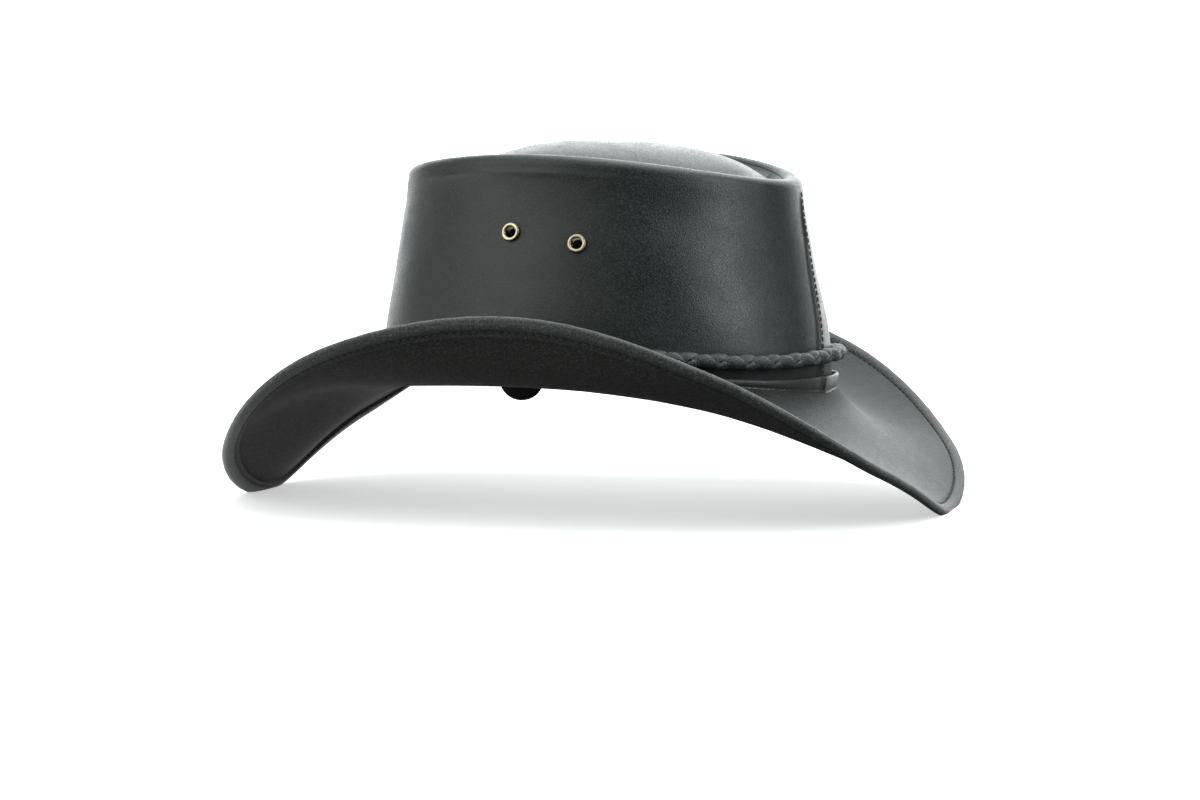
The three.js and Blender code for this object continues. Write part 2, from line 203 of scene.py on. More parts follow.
# A ring of points is drawn as a circle and extruded section by section. Each point keeps its turn
# round the hat, so the next section can be set from it.
def drawRings(name, turns, rowCount, pointAt, wearAndShadeAt=None, smooth=55):
    letGo()
    bpy.ops.mesh.primitive_circle_add(vertices=len(turns), radius=0.1)
    piece = bpy.context.object
    piece.name = piece.data.name = name
    bpy.ops.object.mode_set(mode="EDIT")
    bpy.ops.mesh.select_all(action="SELECT")
    mesh = bmesh.from_edit_mesh(piece.data)
    turnLayer = mesh.verts.layers.float.new("turn")
    wearAndShadeLayer = mesh.verts.layers.float.new("wearAndShade")
    ordered = sorted(mesh.verts, key=lambda vert: math.atan2(vert.co.y, vert.co.x) % tau)
    for vert, turn in zip(ordered, turns):
        vert[turnLayer] = turn
    for row in range(rowCount):
        if row > 0:
            bpy.ops.mesh.extrude_edges_indiv()
            mesh = bmesh.from_edit_mesh(piece.data)
            turnLayer = mesh.verts.layers.float["turn"]
            wearAndShadeLayer = mesh.verts.layers.float["wearAndShade"]
        for vert in mesh.verts:
            if vert.select:
                vert.co = placed(pointAt(vert[turnLayer], row))
                vert[wearAndShadeLayer] = wearAndShadeAt(vert[turnLayer], row) if wearAndShadeAt else 0
        bmesh.update_edit_mesh(piece.data)
    bpy.ops.mesh.select_all(action="SELECT")
    bpy.ops.mesh.remove_doubles(threshold=0.000002)
    bpy.ops.mesh.select_all(action="SELECT")
    bpy.ops.mesh.normals_make_consistent(inside=False)
    bpy.ops.object.mode_set(mode="OBJECT")
    piece.data.attributes.remove(piece.data.attributes["turn"])
    smoothOver(piece, smooth)
    return piece


def evenTurns(count):
    return [index * tau / count for index in range(count)]


def treeOf(piece):
    return BVHTree.FromPolygons([vert.co.copy() for vert in piece.data.vertices],
                                [tuple(face.vertices) for face in piece.data.polygons])


# Materials
def addNode(tree, kind, **values):
    node = tree.nodes.new(kind)
    for key, value in values.items():
        if hasattr(node, key):
            setattr(node, key, value)
        else:
            node.inputs[key.replace("_", " ")].default_value = value
    return node


def newGroup(name, inputs, outputs):
    group = bpy.data.node_groups.new(name, "ShaderNodeTree")
    for title, value in inputs.items():
        socket = group.interface.new_socket(title, in_out="INPUT", socket_type="NodeSocketFloat")
        socket.default_value = value
    for title in outputs:
        group.interface.new_socket(title, in_out="OUTPUT", socket_type="NodeSocketFloat")
    return group, group.nodes.new("NodeGroupInput"), group.nodes.new("NodeGroupOutput")


def mathNode(tree, operation, first, second=None):
    node = tree.nodes.new("ShaderNodeMath")
    node.operation = operation
    for index, value in enumerate((first, second)):
        if value is None:
            continue
        if isinstance(value, (int, float)):
            node.inputs[index].default_value = value
        else:
            tree.links.new(value, node.inputs[index])
    return node.outputs[0]


# Pebbled grain: small rounded cells broken up by noise, with finer tooth on top
def makeGrainGroup():
    group, given, out = newGroup(
        "pebbled grain",
        {"Cells": 900, "Tooth": 0.35, "Creases": 0.3},
        ("Height", "Pores", "Tips"),
    )
    links = group.links
    place = group.nodes.new("ShaderNodeTexCoord")
    warp = addNode(group, "ShaderNodeTexNoise", Detail=2.0, Roughness=0.6)
    links.new(mathNode(group, "MULTIPLY", given.outputs["Cells"], 0.6), warp.inputs["Scale"])
    links.new(place.outputs["Object"], warp.inputs["Vector"])
    shift = group.nodes.new("ShaderNodeVectorMath")
    shift.operation = "MULTIPLY_ADD"
    shift.inputs[1].default_value = (0.0006, 0.0006, 0.0006)
    links.new(warp.outputs["Color"], shift.inputs[0])
    links.new(place.outputs["Object"], shift.inputs[2])
    cells = addNode(group, "ShaderNodeTexVoronoi", feature="SMOOTH_F1")
    cells.inputs["Smoothness"].default_value = 0.35
    links.new(given.outputs["Cells"], cells.inputs["Scale"])
    links.new(shift.outputs[0], cells.inputs["Vector"])
    tooth = addNode(group, "ShaderNodeTexNoise", Detail=3.0, Roughness=0.65)
    links.new(mathNode(group, "MULTIPLY", given.outputs["Cells"], 0.7), tooth.inputs["Scale"])
    links.new(place.outputs["Object"], tooth.inputs["Vector"])
    crease = addNode(group, "ShaderNodeTexNoise", Detail=4.0, Roughness=0.7)
    links.new(mathNode(group, "MULTIPLY", given.outputs["Cells"], 0.13), crease.inputs["Scale"])
    links.new(place.outputs["Object"], crease.inputs["Vector"])
    pebble = mathNode(group, "SUBTRACT", 1.0, cells.outputs["Distance"])
    fineGrain = mathNode(group, "MULTIPLY", tooth.outputs["Fac"], given.outputs["Tooth"])
    height = mathNode(group, "ADD", pebble, fineGrain)
    folds = mathNode(group, "MULTIPLY", crease.outputs["Fac"], given.outputs["Creases"])
    height = mathNode(group, "ADD", height, folds)
    links.new(height, out.inputs["Height"])
    pores = addNode(group, "ShaderNodeMapRange", interpolation_type="SMOOTHSTEP")
    pores.inputs["From Min"].default_value = 0.42
    pores.inputs["From Max"].default_value = 0.75
    links.new(cells.outputs["Distance"], pores.inputs["Value"])
    links.new(pores.outputs[0], out.inputs["Pores"])
    tips = addNode(group, "ShaderNodeMapRange", interpolation_type="SMOOTHSTEP")
    tips.inputs["From Min"].default_value = 0.42
    tips.inputs["From Max"].default_value = 0.68
    links.new(tooth.outputs["Fac"], tips.inputs["Value"])
    links.new(tips.outputs[0], out.inputs["Tips"])
    return group


# Slow drift of tone over the hide, from the wax and from handling
def makeDriftGroup():
    group, given, out = newGroup("hide drift", {"Size": 14}, ("Drift", "Smudge"))
    links = group.links
    place = group.nodes.new("ShaderNodeTexCoord")
    broad = addNode(group, "ShaderNodeTexNoise", Detail=3.0, Roughness=0.55)
    links.new(given.outputs["Size"], broad.inputs["Scale"])
    links.new(place.outputs["Object"], broad.inputs["Vector"])
    links.new(broad.outputs["Fac"], out.inputs["Drift"])
    smudge = addNode(group, "ShaderNodeTexNoise", Detail=5.0, Roughness=0.6)
    links.new(mathNode(group, "MULTIPLY", given.outputs["Size"], 6.5), smudge.inputs["Scale"])
    links.new(place.outputs["Object"], smudge.inputs["Vector"])
    links.new(smudge.outputs["Fac"], out.inputs["Smudge"])
    return group


grainGroup = makeGrainGroup()
driftGroup = makeDriftGroup()


def useGroup(tree, group, **values):
    node = tree.nodes.new("ShaderNodeGroup")
    node.node_tree = group
    for key, value in values.items():
        node.inputs[key].default_value = value
    return node


def mixColor(tree, factor, first, second):
    node = tree.nodes.new("ShaderNodeMix")
    node.data_type = "RGBA"
    for socket, value in ((node.inputs[0], factor), (node.inputs[6], first), (node.inputs[7], second)):
        if isinstance(value, (int, float)):
            socket.default_value = value
        elif isinstance(value, tuple):
            socket.default_value = (*value, 1)
        else:
            tree.links.new(value, socket)
    return node.outputs[2]


# Each piece's per-point wear-and-shade value is above 0 where the leather is rubbed pale, and below 0 where
# it is
# made rougher and given the dull colour: on the hat's underside and inside, and as painted shade on the crown
# wall behind the band and on the lower halves of the braid's laces.
def makeLeather(name, finish):
    material = bpy.data.materials.new(name)
    material.use_nodes = True
    tree = material.node_tree
    links = tree.links
    shader = tree.nodes["Principled BSDF"]
    grain = useGroup(
        tree, grainGroup, Cells=finish["cells"], Tooth=finish["tooth"], Creases=finish["creases"],
    )
    drift = useGroup(tree, driftGroup, Size=finish["driftSize"])
    wearAndShade = addNode(tree, "ShaderNodeAttribute", attribute_name="wearAndShade")
    matteAndShade = mathNode(tree, "MAXIMUM", mathNode(tree, "MULTIPLY", wearAndShade.outputs["Fac"], -1.0), 0.0)
    color = mixColor(tree, drift.outputs["Drift"], finish["cool"], finish["warm"])
    # Painted shade: below 0 the colour is pulled to the dull colour, darker than the leather on the crown and
    # the laces.
    color = mixColor(tree, mathNode(tree, "MULTIPLY", matteAndShade, 0.9), color, finish["matteAndShade"])
    tips = mathNode(tree, "MULTIPLY", grain.outputs["Tips"], finish["tipShare"])
    color = mixColor(tree, tips, color, finish["tip"])
    color = mixColor(tree, mathNode(tree, "MULTIPLY", grain.outputs["Pores"], 0.5), color, finish["pore"])
    rubbed = mathNode(tree, "MULTIPLY", wearAndShade.outputs["Fac"], drift.outputs["Smudge"])
    speckle = mathNode(tree, "ADD", mathNode(tree, "MULTIPLY", grain.outputs["Tips"], 0.9), 0.5)
    color = mixColor(tree, mathNode(tree, "MULTIPLY", rubbed, speckle), color, finish["rub"])
    links.new(color, shader.inputs["Base Color"])
    gloss = addNode(tree, "ShaderNodeMapRange")
    gloss.inputs["From Min"].default_value = 0.3
    gloss.inputs["From Max"].default_value = 0.7
    gloss.inputs["To Min"].default_value = finish["roughness"] - finish["uneven"]
    gloss.inputs["To Max"].default_value = finish["roughness"] + finish["uneven"]
    links.new(drift.outputs["Smudge"], gloss.inputs["Value"])
    roughTips = mathNode(tree, "MULTIPLY", grain.outputs["Tips"], 0.2)
    roughness = mathNode(tree, "ADD", gloss.outputs[0], roughTips)
    roughness = mathNode(tree, "ADD", roughness, mathNode(tree, "MULTIPLY", matteAndShade, 0.4))
    links.new(roughness, shader.inputs["Roughness"])
    shader.inputs["Specular IOR Level"].default_value = finish["specular"]
    shader.inputs["Coat Weight"].default_value = finish["coat"]
    shader.inputs["Coat Roughness"].default_value = finish["coatRoughness"]
    bump = addNode(tree, "ShaderNodeBump", Strength=finish["bump"], Distance=finish["bumpDepth"])
    links.new(grain.outputs["Height"], bump.inputs["Height"])
    links.new(bump.outputs[0], shader.inputs["Normal"])
    return material


# Its dull colour is painted shade at the wall's foot behind the band, and the colour of the inside.
crownLeather = makeLeather("crown leather", {
    "cool": (0.004, 0.009, 0.008), "warm": (0.007, 0.009, 0.008),
    "tip": (0.05, 0.054, 0.054), "tipShare": 0.4,
    "pore": (0.002, 0.003, 0.003), "rub": (0.09, 0.093, 0.09), "roughness": 0.35, "specular": 0.5,
    "matteAndShade": (0.005, 0.005, 0.005), "uneven": 0.05,
    "cells": 1900, "tooth": 1.6, "creases": 0.06, "driftSize": 14,
    "bump": 0.4, "bumpDepth": 0.00018, "coat": 0.05, "coatRoughness": 0.4,
})
brimLeather = makeLeather("brim leather", {
    "cool": (0.009, 0.012, 0.011), "warm": (0.012, 0.012, 0.011),
    "tip": (0.085, 0.09, 0.09), "tipShare": 0.6,
    "pore": (0.003, 0.004, 0.004), "rub": (0.2, 0.21, 0.205), "roughness": 0.48, "specular": 0.42,
    "matteAndShade": (0.018, 0.018, 0.015), "uneven": 0.02,
    "cells": 1600, "tooth": 2.0, "creases": 0.1, "driftSize": 12,
    "bump": 0.9, "bumpDepth": 0.0002, "coat": 0.03, "coatRoughness": 0.45,
})
# Its dull colour is painted shade on the lower half of each lace.
braidLeather = makeLeather("braid lace", {
    "cool": (0.014, 0.02, 0.02), "warm": (0.02, 0.022, 0.021),
    "tip": (0.12, 0.13, 0.13), "tipShare": 0.4,
    "pore": (0.004, 0.005, 0.005), "rub": (0.3, 0.31, 0.31), "roughness": 0.45, "specular": 0.5,
    "matteAndShade": (0.003, 0.003, 0.003), "uneven": 0.08,
    "cells": 1500, "tooth": 1.6, "creases": 0.5, "driftSize": 60,
    "bump": 0.9, "bumpDepth": 0.0003, "coat": 0.08, "coatRoughness": 0.35,
})
# The tab's near-black colour and low specular are painted shade, standing in for the shade inside the head
# opening; its gloss is its own.
glossShadeLeather = makeLeather("glazed tab leather in painted shade", {
    "cool": (0.0006, 0.0006, 0.0006), "warm": (0.001, 0.001, 0.001),
    "tip": (0.003, 0.003, 0.003), "tipShare": 0.2,
    "pore": (0.0005, 0.0005, 0.0005), "rub": (0.04, 0.04, 0.04), "roughness": 0.16, "specular": 0.12,
    "matteAndShade": (0.001, 0.001, 0.001), "uneven": 0.04,
    "cells": 1200, "tooth": 0.3, "creases": 0.2, "driftSize": 30,
    "bump": 0.12, "bumpDepth": 0.0002, "coat": 0.0, "coatRoughness": 0.1,
})


def makeThread(name, light, dark, roughness):
    material = bpy.data.materials.new(name)
    material.use_nodes = True
    tree = material.node_tree
    shader = tree.nodes["Principled BSDF"]
    place = tree.nodes.new("ShaderNodeTexCoord")
    ply = addNode(tree, "ShaderNodeTexNoise", Scale=2600.0, Detail=2.0)
    tree.links.new(place.outputs["Object"], ply.inputs["Vector"])
    tree.links.new(mixColor(tree, ply.outputs["Fac"], dark, light), shader.inputs["Base Color"])
    shader.inputs["Roughness"].default_value = roughness
    bump = addNode(tree, "ShaderNodeBump", Strength=0.6, Distance=0.0002)
    tree.links.new(ply.outputs["Fac"], bump.inputs["Height"])
    tree.links.new(bump.outputs[0], shader.inputs["Normal"])
    return material


blackThread = makeThread("waxed thread", (0.014, 0.015, 0.015), (0.002, 0.002, 0.002), 0.6)
looseFibre = makeThread("loose fibre", (0.35, 0.37, 0.37), (0.12, 0.13, 0.13), 0.6)


def makeBrass():
    material = bpy.data.materials.new("aged brass")
    material.use_nodes = True
    tree = material.node_tree
    shader = tree.nodes["Principled BSDF"]
    drift = useGroup(tree, driftGroup, Size=260)
    wearAndShade = addNode(tree, "ShaderNodeAttribute", attribute_name="wearAndShade")
    tarnish = mixColor(tree, drift.outputs["Smudge"], (0.045, 0.034, 0.014), (0.2, 0.165, 0.085))
    color = mixColor(tree, wearAndShade.outputs["Fac"], tarnish, (0.82, 0.75, 0.52))
    tree.links.new(color, shader.inputs["Base Color"])
    shader.inputs["Metallic"].default_value = 1.0
    gloss = addNode(tree, "ShaderNodeMapRange")
    gloss.inputs["To Min"].default_value = 0.26
    gloss.inputs["To Max"].default_value = 0.5
    tree.links.new(drift.outputs["Smudge"], gloss.inputs["Value"])
    tree.links.new(gloss.outputs[0], shader.inputs["Roughness"])
    bump = addNode(tree, "ShaderNodeBump", Strength=0.25, Distance=0.0001)
    tree.links.new(drift.outputs["Smudge"], bump.inputs["Height"])
    tree.links.new(bump.outputs[0], shader.inputs["Normal"])
    return material


agedBrass = makeBrass()
print("materials made")


# Brim
def brimSectionRows():
    top = brimSet["thickness"] / 2
    rows = [("open", -top)]
    rows += [("under", share) for share in brimSet["bands"]]
    rows += [("fold", share) for share in (0, 0.3, 0.7, 1)]
    rows += [("hemUnder", share) for share in (0, 0.15, 0.3, 0.42, 0.55, 0.7, 0.85, 1)]
    rows += [("round", angle) for angle in (-90, -67, -45, -22, 0, 22, 45, 67, 90)]
    rows += [("hemTop", share) for share in (0, 0.12, 0.24, 0.36, 0.46, 0.54, 0.6, 0.66, 0.74, 0.86)]
    rows += [("over", share) for share in reversed(brimSet["bands"])]
    rows += [("open", top), ("open", -top)]
    return rows


brimRows = brimSectionRows()


# The thread pulls a groove, and the folded leather swells between it and the edge
def groove(distance):
    return brimSet["grooveDepth"] * bulge((distance - brimSet["grooveFromEdge"]) / brimSet["grooveHalf"])


def hemBulge(distance):
    return brimSet["hemSwell"] * bulge((distance - 3.6) / 1.5)


def brimRowPoint(turn, row):
    kind, value = brimRows[row]
    width = brimWidthAt(turn)
    top = brimSet["thickness"] / 2
    under = top - brimSet["hemThickness"]
    hemStart = width - brimSet["hemWidth"]
    root = math.radians(brimColumn(turn, 1))
    radius = brimSet["hemThickness"] / 2
    pucker = brimSet["pucker"] * math.sin(turn * brimSet["puckers"])
    if kind == "open":
        return clampedBrim(turn, -footLine / math.cos(root), value)
    if kind == "under":
        return clampedBrim(turn, hemStart * value, -top)
    if kind == "fold":
        return clampedBrim(turn, hemStart + 0.5 * value, lerp(-top, under, value))
    if kind == "hemUnder":
        reach = lerp(hemStart + 0.8, width - radius - 0.1, value)
        return clampedBrim(turn, reach, under + groove(width - reach) - hemBulge(width - reach))
    if kind == "round":
        angle = math.radians(value)
        return clampedBrim(turn, width - radius + (radius + pucker) * math.cos(angle),
                           top - radius + radius * math.sin(angle))
    if kind == "hemTop":
        reach = lerp(width - radius - 0.1, hemStart, value)
        return clampedBrim(turn, reach, top - groove(width - reach) + hemBulge(width - reach))
    return clampedBrim(turn, hemStart * value, top)


def clampedBrim(turn, reach, above):
    point = brimAt(turn, reach, above)
    point.z = max(point.z, restLevel)
    return point


def brimWorn(turn, row):
    kind, value = brimRows[row]
    if kind == "round":
        return 0.28 + 0.72 * bulge((value - 20) / 40)
    if kind == "hemTop":
        return 0.5 * (1 - value) if value < 0.5 else 0.0
    if kind == "hemUnder":
        return 0.3 * bulge((value - 0.9) / 0.3) if value > 0.5 else -0.5
    if kind == "over":
        return -0.75 * bulge(value / 0.14)
    return -1.0


def makeBrim():
    piece = drawRings(
        "brim_leather_piece", evenTurns(brimSet["columns"]), len(brimRows), brimRowPoint, wearAndShadeAt=brimWorn,
    )
    piece.data.materials.append(brimLeather)
    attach(piece, "root")
    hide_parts("brim")
    return piece


brimPiece = makeBrim()
print("brim made")

# Crown side
crownSet = {
    "columns": 240, "lapFoot": -10, "lapSlant": 9, "lapWidth": 11, "lapStep": 0.7,
    # share of the height: share of the lean
    "heights": (0, 0.18, 0.32, 0.46, 0.6, 0.74, 0.88, 1),
    "leans": (0, 0.04, 0.15, 0.33, 0.53, 0.72, 0.9, 1),
    # angle, height share, depth share, spread in degrees, rise
    "dents": [
        (-30, 0.62, 0.02, 17, 0.3), (32, 0.58, 0.018, 18, 0.3),
        (-64, 0.3, 0.01, 14, 0.16), (158, 0.7, 0.012, 20, 0.3),
    ],
    # angle, height share, depth share, spread in degrees, rise: the hide's slight unevenness
    "waves": [
        (-46, 0.42, 0.006, 10, 0.1), (-58, 0.8, 0.006, 9, 0.1), (-75, 0.45, 0.006, 12, 0.14),
        (-96, 0.75, 0.006, 14, 0.12), (-118, 0.4, 0.007, 15, 0.16), (-140, 0.7, 0.007, 12, 0.15),
        (-158, 0.45, 0.006, 10, 0.2), (-30, 0.3, 0.005, 8, 0.12), (12, 0.55, 0.005, 10, 0.15),
        (60, 0.4, 0.006, 14, 0.15), (95, 0.7, 0.007, 16, 0.14), (125, 0.35, 0.006, 14, 0.15),
        (175, 0.4, 0.005, 12, 0.15),
    ],
    "rows": 30, "rollSteps": 10,
    "ridge": (-108, 0.966, 0.0042, 42, 0.014),  # a faint rib under the crest on the near side
}
lapTurnDegrees = (
    math.degrees(crownSet["lapWidth"] / (hat["headLength"] / 2)) / (hat["headWidth"] / hat["headLength"])
)


def shortTurn(start, end):
    return (end - start + 180) % 360 - 180


def crestHeight(turn):
    front = math.cos(turn)
    tilt = hat["crestTilt"] * math.sin(turn) * (1 + front) / 2
    return (hat["footHeight"] + hat["crownHeight"] - hat["crestFrontDrop"] * front
            - hat["crestSaddle"] * math.cos(2 * turn) + tilt)


def shoulderAt(turn):
    narrowing = 1 - hat["crestFrontNarrowing"] * math.cos(turn)
    point = Vector((
        hat["crestShift"] + hat["crestLength"] / 2 * math.cos(turn),
        hat["crestWidth"] / 2 * math.sin(turn) * narrowing,
        0,
    ))
    out = Vector((math.cos(turn) / hat["crestLength"], math.sin(turn) / hat["crestWidth"], 0))
    return point, out.normalized()


def ridgeRise(degrees, height):
    angle, level, rise, spread, reach = crownSet["ridge"]
    along = bulge(shortTurn(angle, degrees) / spread) ** 2
    return rise * hat["crownHeight"] * along * bulge((height - level) / reach)


def dentDepth(turn, height):
    degrees = math.degrees(turn)
    return sum(
        depth * hat["crownHeight"]
        * bulge(shortTurn(angle, degrees) / spread) * bulge((height - level) / rise)
        for angle, level, depth, spread, rise in crownSet["dents"] + crownSet["waves"]
    ) - ridgeRise(degrees, height)


def lapLift(turn):
    past = shortTurn(crownSet["lapFoot"], math.degrees(turn)) / lapTurnDegrees
    return 0 if past < -0.001 or past > 1 else crownSet["lapStep"] * (1 - past * past)


def slantedTurn(turn, height):
    nearSeam = max(0, math.cos(turn - math.radians(crownSet["lapFoot"]))) ** 8
    return turn + math.radians(crownSet["lapSlant"]) * height * nearSeam


def leanAt(height):
    heights, leans = crownSet["heights"], crownSet["leans"]
    index = max(1, next((i for i, level in enumerate(heights) if level >= height), len(heights) - 1))
    span = heights[index] - heights[index - 1]
    share = min(max((height - heights[index - 1]) / span, 0), 1)

    def slope(row):
        if row <= 0 or row >= len(heights) - 1:
            row = min(max(row, 1), len(heights) - 2)
        return (leans[row + 1] - leans[row - 1]) / (heights[row + 1] - heights[row - 1])

    square, cube = share * share, share ** 3
    first = 0.05 if index == 1 else slope(index - 1)
    return (leans[index - 1] * (2 * cube - 3 * square + 1) + first * span * (cube - 2 * square + share)
            + leans[index] * (3 * square - 2 * cube) + slope(index) * span * (cube - square))


def sidePoint(footTurn, height):
    turn = slantedTurn(footTurn, height)
    foot, footOut = openingAt(turn)
    shoulder, shoulderOut = shoulderAt(turn)
    lean = leanAt(height)
    out = footOut.lerp(shoulderOut, lean).normalized()
    bottom = brimTopHeight(turn, hat["wall"]) + hat["gap"]
    top = crestHeight(turn) - hat["rollRadius"]
    point = (foot + footOut * hat["wall"]).lerp(shoulder, lean)
    proud = lapLift(footTurn) * (1 - height ** 6) - dentDepth(turn, height)
    point = point + out * proud
    point.z = lerp(bottom, top, height)
    return point, out, proud


def crestPoint(footTurn, degrees, radius):
    point, out, proud = sidePoint(footTurn, 1)
    rolled = math.radians(degrees)
    point = point + out * (radius * math.cos(rolled) - hat["rollRadius"])
    point.z += radius * math.sin(rolled)
    return point


def crownRows():
    heights = [index / crownSet["rows"] for index in range(crownSet["rows"])]
    heights += [crownSet["ridge"][1] + crownSet["ridge"][4] * step for step in (-1, -0.5, 0.5, 1, 1.6)] + [1]
    heights.sort()
    rolls = [hat["rollEnd"] * (index + 1) / crownSet["rollSteps"] for index in range(crownSet["rollSteps"])]
    rows = [("outer", height) for height in heights]
    rows += [("roll", degrees) for degrees in rolls]
    rows += [("rollUnder", degrees) for degrees in reversed(rolls)]
    rows += [("inner", height) for height in reversed(heights[::3])]
    rows += [("outer", 0)]
    return rows


crownRowList = crownRows()


def crownRowPoint(turn, row):
    kind, value = crownRowList[row]
    if kind == "outer":
        return sidePoint(turn, value)[0]
    if kind == "roll":
        return crestPoint(turn, value, hat["rollRadius"])
    if kind == "rollUnder":
        return crestPoint(turn, value, hat["rollRadius"] - hat["wall"])
    point, out, proud = sidePoint(turn, value)
    point = point - out * (hat["wall"] + max(proud, 0))
    if value == 0:
        point.z += brimTopHeight(turn, 0) - brimTopHeight(turn, hat["wall"])
    return point


def crownWearAndShade(turn, row):
    kind, value = crownRowList[row]
    if kind == "roll":
        return 0.35 * bulge((value - 60) / 30)
    # The wall's foot, below about a seventh of its height behind the band and strip, is given painted shade.
    if kind == "outer":
        return -bulge(max(0, value - 0.11) / 0.035)
    # The inside and the underside of the roll get the dull, matte colour.
    return -1.0


def lapTurns(count):
    step = 360 / count
    turns = []
    for index in range(count):
        degrees = index * step
        if abs(shortTurn(crownSet["lapFoot"], degrees)) <= step / 2:
            degrees = 360 + crownSet["lapFoot"]
        elif abs(shortTurn(crownSet["lapFoot"] - step, degrees)) <= step / 2:
            degrees = 360 + crownSet["lapFoot"] - 0.3
        turns.append(math.radians(degrees))
    return turns


def makeCrown():
    piece = drawRings(
        "crown_leather_piece", lapTurns(crownSet["columns"]), len(crownRowList), crownRowPoint,
        wearAndShadeAt=crownWearAndShade,
    )
    piece.data.materials.append(crownLeather)
    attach(piece, "root")
    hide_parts("crown_side")
    return piece


crownPiece = makeCrown()
print("crown side made")

# Crown tip
tipSet = {
    "wall": 1.8, "rise": 10.5, "shift": -8, "valley": 3.6, "valleyFront": 1.2,
    "inward": (0.035, 0.07, 0.13, 0.22, 0.36, 0.55, 0.77, 1.0),
    "rises": (0.03, 0.0, 0.04, 0.19, 0.48, 0.77, 0.95, 1.0),
    "rows": 26, "fullFront": 0.66, "fullBack": 1.12,
}
tipTop = hat["footHeight"] + hat["crownHeight"] + tipSet["rise"]
tipMiddle = Vector((hat["crestShift"] + tipSet["shift"], 0, tipTop))


def riseAt(inward):
    places, rises = tipSet["inward"], tipSet["rises"]
    if inward <= places[0]:
        return rises[0]
    index = next((i for i, place in enumerate(places) if place >= inward), len(places) - 1)
    span = places[index] - places[index - 1]
    share = (inward - places[index - 1]) / span

    def slope(row):
        if row <= 0:
            return -0.8
        if row >= len(places) - 1:
            return 0.0
        return (rises[row + 1] - rises[row - 1]) / (places[row + 1] - places[row - 1])

    square, cube = share * share, share ** 3
    return (rises[index - 1] * (2 * cube - 3 * square + 1)
            + slope(index - 1) * span * (cube - 2 * square + share)
            + rises[index] * (3 * square - 2 * cube) + slope(index) * span * (cube - square))


def tipRows():
    inwards = [0.035 + (1 - 0.035) * (index / tipSet["rows"]) ** 1.5 for index in range(tipSet["rows"] + 1)]
    rows = [("middleUnder", 1)]
    rows += [("under", inward) for inward in reversed(inwards[:-1:2])]
    rows += [("seamUnder", 0), ("seam", 0)]
    rows += [("over", inward) for inward in inwards[:-1]]
    rows += [("middle", 1)]
    return rows


tipRowList = tipRows()


def tipRowPoint(turn, row):
    kind, value = tipRowList[row]
    if kind == "middle":
        return tipMiddle.copy()
    if kind == "middleUnder":
        return tipMiddle - Vector((0, 0, tipSet["wall"]))
    lower = kind in ("under", "seamUnder")
    radius = hat["rollRadius"] - tipSet["wall"] if lower else hat["rollRadius"]
    end = math.radians(hat["rollEnd"])
    if kind in ("seam", "seamUnder"):
        out = sidePoint(turn, 1)[1]
        lip = crestPoint(turn, hat["rollEnd"], radius)
        return lip - out * (hat["gap"] * math.sin(end)) + Vector((0, 0, hat["gap"] * math.cos(end)))
    edge = crestPoint(turn, hat["rollEnd"], hat["rollRadius"])
    slanted = slantedTurn(turn, 1)
    front = max(0, math.cos(slanted)) ** 2
    fullness = lerp(tipSet["fullBack"], tipSet["fullFront"], (1 + math.cos(slanted)) / 2)
    floor = crestHeight(slanted) - tipSet["valley"] - tipSet["valleyFront"] * front
    point = edge.lerp(tipMiddle, value)
    point.z = lerp(floor, tipTop, riseAt(value ** fullness)) - (tipSet["wall"] if lower else 0)
    return point


def makeTip():
    piece = drawRings("tip_leather_piece", lapTurns(180), len(tipRowList), tipRowPoint)
    piece.data.materials.append(crownLeather)
    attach(piece, "root")
    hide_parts("crown_tip")
    return piece


tipPiece = makeTip()
print("crown tip made")

# Base strip
stripSet = {"thickness": 1.8, "height": 3, "frontRise": 4.5, "flare": 1.2, "columns": 240}


def frontShare(turn):
    return max(0, math.cos(turn)) ** 6


def stripTopHeight(turn):
    outerFoot = brimTopHeight(turn, hat["wall"] + hat["gap"] + stripSet["thickness"]) + hat["gap"]
    return outerFoot + stripSet["height"] + stripSet["frontRise"] * frontShare(turn)


# Across the strip (0 inner, 1 outer) and up it (0 foot, 1 top), with rounded corners
stripProfile = [
    (0, 0), (1, 0), (0.9, 0.08), (0.84, 0.16), (0.9, 0.26), (1, 0.4), (1, 0.86), (0.85, 0.96), (0.5, 1),
    (0.15, 0.96), (0, 0.85), (0, 0.4), (0, 0),
]


def stripRowPoint(turn, row):
    across, up = stripProfile[row]
    point, out = openingAt(turn)
    inner = hat["wall"] + hat["gap"] + lapLift(turn)
    share = inner + stripSet["thickness"] * across
    foot = brimTopHeight(turn, share) + hat["gap"]
    flare = stripSet["flare"] * frontShare(turn) * up
    top = stripTopHeight(turn)
    point = point + out * (share + flare)
    point.z = lerp(foot, top, up)
    return point


def stripWorn(turn, row):
    return 0.9 if 7 <= row <= 9 else 0.0


def makeStrip():
    piece = drawRings(
        "strip_leather_piece", lapTurns(stripSet["columns"]), len(stripProfile), stripRowPoint,
        wearAndShadeAt=stripWorn,
    )
    piece.data.materials.append(crownLeather)
    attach(piece, "root")
    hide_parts("base_strip")
    return piece


stripPiece = makeStrip()
print("base strip made")

# Hat band, four laces braided round
bandSet = {
    "radius": 3.5, "lift": 3.4, "frontLift": 2.4, "lozenge": 13, "sleeveAngle": 120, "joinRadius": 2.2,
    "laceWidth": 6.4, "laceThickness": 1.45, "middleRadius": 2.4, "weave": 0.55, "tuck": 0.5,
    "steps": 560, "sides": 16,
}


